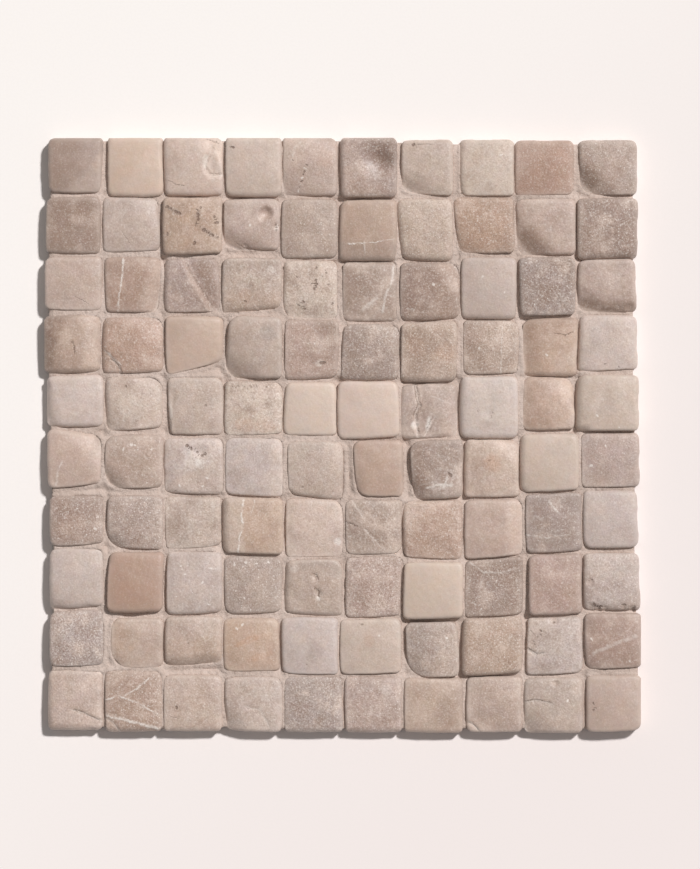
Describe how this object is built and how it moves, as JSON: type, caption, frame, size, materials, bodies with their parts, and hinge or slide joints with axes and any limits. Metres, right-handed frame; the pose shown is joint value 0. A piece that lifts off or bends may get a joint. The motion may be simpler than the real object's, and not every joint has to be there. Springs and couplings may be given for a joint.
{
  "type": "mosaic tile sheet",
  "caption": "Square sheet of tumbled stone mosaic in mixed beige, pink and grey tones, grouted, on a backing net.",
  "frame": {"origin": "centre of the ten by ten grid, on the back of the net", "axes": "+Z out of the face, +Y to the top row of the picture, +X to its right"},
  "size_m": [0.299, 0.298, 0.012],
  "materials": {
    "cream_stone": "tumbled, honed matt, worn round at the edges",
    "honey_stone": "tumbled, honed matt, worn round at the edges",
    "gold_stone": "tumbled, honed matt, worn round at the edges",
    "terracotta_stone": "tumbled, honed matt, worn round at the edges",
    "tan_stone": "tumbled, honed matt, worn round at the edges",
    "rose_stone": "tumbled, honed matt, worn round at the edges",
    "blush_stone": "tumbled, honed matt, worn round at the edges",
    "greige_stone": "tumbled, honed matt, worn round at the edges",
    "pale_stone": "tumbled, honed matt, worn round at the edges",
    "taupe_stone": "tumbled, honed matt, worn round at the edges",
    "mauve_stone": "tumbled, honed matt, worn round at the edges",
    "slate_stone": "tumbled, honed matt, worn round at the edges",
    "grout": "fine sanded cement grout, matt",
    "net": "woven glass fibre net, dressed, satin"
  },
  "bodies": {
    "root": {"cream_stones": "cream_stone", "honey_stones": "honey_stone", "gold_stones": "gold_stone", "terracotta_stones": "terracotta_stone", "tan_stones": "tan_stone", "rose_stones": "rose_stone", "blush_stones": "blush_stone", "greige_stones": "greige_stone", "pale_stones": "pale_stone", "taupe_stones": "taupe_stone", "mauve_stones": "mauve_stone", "slate_stones": "slate_stone", "grout": "grout", "backing_net": "net"}
  },
  "joints": []
}
